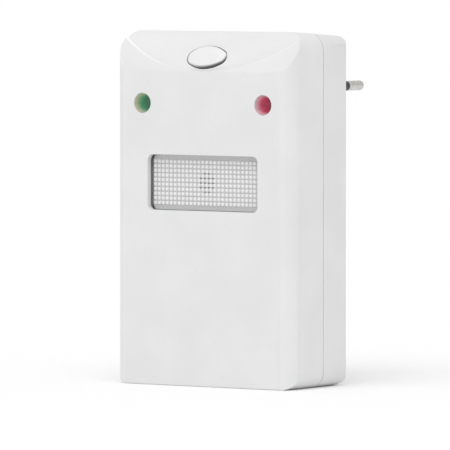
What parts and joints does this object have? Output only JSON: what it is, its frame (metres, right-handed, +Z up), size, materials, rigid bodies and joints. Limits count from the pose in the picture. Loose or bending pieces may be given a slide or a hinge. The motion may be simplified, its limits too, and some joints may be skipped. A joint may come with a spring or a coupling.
{
  "type": "ultrasonic pest repeller",
  "caption": "Plug-in ultrasonic pest repeller: tall rounded box with a prismatic night-light window, indicator lamps, a sloping top panel with an oval button, and a round-pin plug behind.",
  "frame": {"origin": "middle of the flat base of the housing", "axes": "+Z up, the front face looks along -Y, the plug pins point along +Y, +X is to the right seen from the front"},
  "size_m": [0.085, 0.1015, 0.1399],
  "materials": {
    "white_shell": "fine moulded satin",
    "white_cover": "fine moulded satin",
    "white_plug": "fine moulded satin",
    "white_button": "smooth satin",
    "zinc_steel": "zinc plated",
    "label_film": "blank printed film",
    "black_plastic": "moulded",
    "circuit_laminate": "solder mask",
    "green_lens": "clear tinted",
    "red_lens": "clear tinted",
    "green_lamp": "diffused",
    "red_lamp": "diffused",
    "clear_lens": "prismatic, clear",
    "reflector_white": "moulded",
    "clear_lamp": "clear",
    "sensor_dark": "dark tinted",
    "ferrite": "sintered",
    "copper_wire": "enamelled wire",
    "yellow_case": "moulded",
    "blue_sleeve": "shrink sleeve",
    "tan_lacquer": "lacquered",
    "black_rubber": "foamed",
    "aluminium_foil": "satin",
    "brass": "plain",
    "wire_sheath": "extruded",
    "nickel_pins": "nickel plated",
    "sleeve_black": "moulded"
  },
  "bodies": {
    "housing": {"front_shell": "white_shell", "back_cover": "white_cover", "case_screws": "zinc_steel", "rating_label": "label_film", "switch_body": "black_plastic", "switch_board": "circuit_laminate", "switch_screws": "zinc_steel", "green_lens": "green_lens", "red_lens": "red_lens", "green_led": "green_lamp", "red_led": "red_lamp", "window_lens": "clear_lens", "light_reflector": "reflector_white", "reflector_screws": "zinc_steel", "night_light_leds": "clear_lamp", "light_sensor": "sensor_dark", "light_board": "circuit_laminate", "board_link": "black_plastic", "circuit_board": "circuit_laminate", "board_screws": "zinc_steel", "transformer_core": "ferrite", "transformer_bobbin": "reflector_white", "transformer_winding": "copper_wire", "mains_capacitor": "yellow_case", "smoothing_capacitor": "blue_sleeve", "rectifier_diodes": "black_plastic", "resistors": "tan_lacquer", "control_chip": "black_plastic", "driver_transistor": "black_plastic", "mains_fuse": "clear_lamp", "transducer_gasket": "black_rubber", "transducer_housing": "black_plastic", "transducer_cone": "aluminium_foil", "piezo_disc": "brass", "transducer_wires": "wire_sheath", "plug_body": "white_plug", "plug_pins": "nickel_pins", "pin_sleeves": "sleeve_black", "pin_terminals": "brass", "mains_wires": "wire_sheath"},
    "button": {"button_cap": "white_button", "switch_plunger": "black_plastic"}
  },
  "joints": [
    {"name": "button_push", "type": "slide", "parent": "housing", "child": "button", "axis": [0, 0.8572, -0.515], "range_m": [0, 0.0015], "stiffness_N_per_m": 800, "springref_m": -0.0005}
  ]
}
